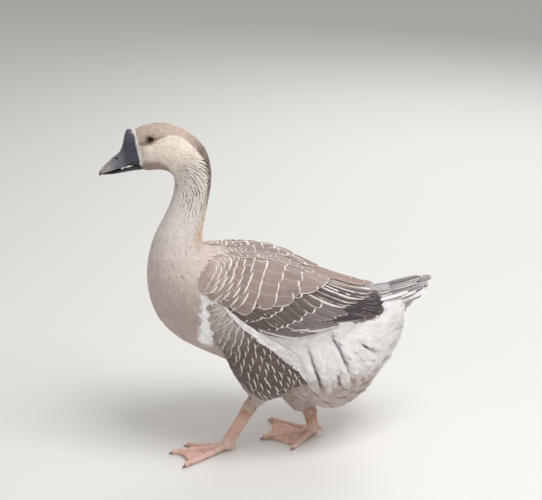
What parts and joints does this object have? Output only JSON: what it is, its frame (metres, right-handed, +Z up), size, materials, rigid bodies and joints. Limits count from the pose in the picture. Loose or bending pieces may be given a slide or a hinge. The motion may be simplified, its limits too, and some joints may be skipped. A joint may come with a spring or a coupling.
{
  "type": "domestic goose",
  "caption": "Life-size still model of a grey-brown and white domestic goose with a black bill, striding with its neck raised.",
  "frame": {"origin": "on the floor, under the middle of the goose's bounding box", "axes": "+Z up; the goose faces -X; its left side faces -Y"},
  "size_m": [0.627, 0.2466, 0.6543],
  "materials": {
    "head_feather": "soft beige-brown plumage",
    "body_feather": "soft pale grey-buff plumage",
    "wing_feather": "grey-brown plumage with pale edges",
    "white_feather": "white and grey-brown quills",
    "bill_horn": "slate-black horn, damp sheen",
    "eye": "dark brown, wet gloss",
    "leg_skin": "pinkish salmon scaled skin",
    "claw_horn": "dark horn"
  },
  "bodies": {
    "root": {"head": "head_feather", "neck_upper": "body_feather", "neck_lower": "body_feather", "trunk": "body_feather", "bill_upper": "bill_horn", "bill_lower": "bill_horn", "tail": "white_feather", "eye_left": "eye", "wing_left": "wing_feather", "thigh_left": "wing_feather", "shank_left": "leg_skin", "foot_left": "leg_skin", "claw_left_outer": "claw_horn", "claw_left_middle": "claw_horn", "claw_left_inner": "claw_horn", "claw_left_hind": "claw_horn", "eye_right": "eye", "wing_right": "wing_feather", "thigh_right": "wing_feather", "shank_right": "leg_skin", "foot_right": "leg_skin", "claw_right_outer": "claw_horn", "claw_right_middle": "claw_horn", "claw_right_inner": "claw_horn", "claw_right_hind": "claw_horn"}
  },
  "joints": []
}
